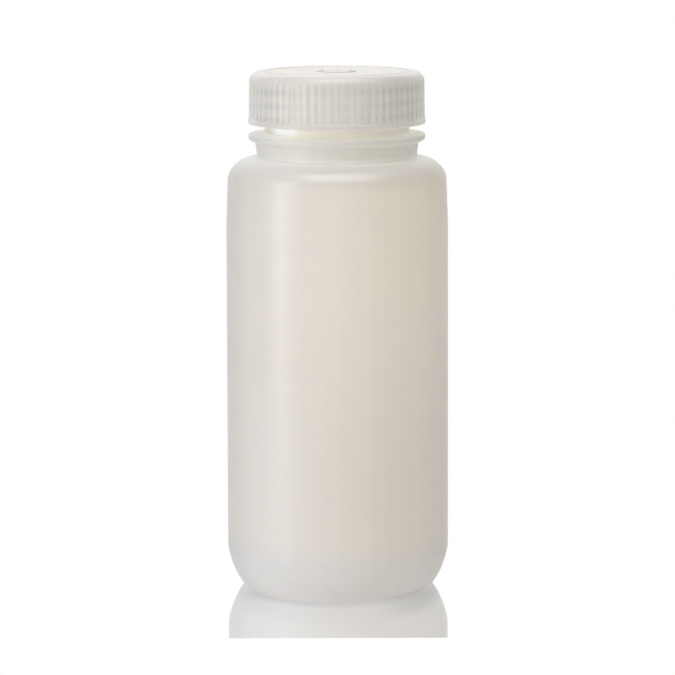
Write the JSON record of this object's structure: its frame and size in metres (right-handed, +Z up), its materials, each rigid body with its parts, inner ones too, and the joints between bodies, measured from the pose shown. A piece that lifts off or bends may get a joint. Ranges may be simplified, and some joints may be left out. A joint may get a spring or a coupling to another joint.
{
  "type": "reagent bottle",
  "caption": "Wide-mouth translucent plastic reagent bottle: round body, domed shoulder, beaded neck and a ribbed screw closure that unscrews and lifts clear.",
  "frame": {"origin": "centre of the base, on the plane that the bottle stands on", "axes": "+Z up along the bottle's axis, towards the closure"},
  "size_m": [0.073, 0.073, 0.1704],
  "materials": {
    "bottle_plastic": "natural high-density polyethylene, milky translucent, waxy satin",
    "closure_plastic": "natural polypropylene, milky translucent, moulded satin",
    "liner_foam": "white polyethylene foam sheet, matte"
  },
  "bodies": {
    "bottle": {"bottle": "bottle_plastic"},
    "liner": {"closure_liner": "liner_foam"},
    "closure": {"closure": "closure_plastic"}
  },
  "joints": [
    {"name": "closure_lift", "type": "slide", "parent": "bottle", "child": "liner", "axis": [0, 0, 1], "range_m": [0, 0.01694]},
    {"name": "closure_turn", "type": "hinge", "parent": "liner", "child": "closure", "pos_m": [0, 0, 0.16], "axis": [0, 0, 1], "range_deg": [0, 1440]}
  ],
  "couplings": [
    {"joint": "closure_lift", "follows": "closure_turn", "m_per_rad": 0.00067376}
  ]
}
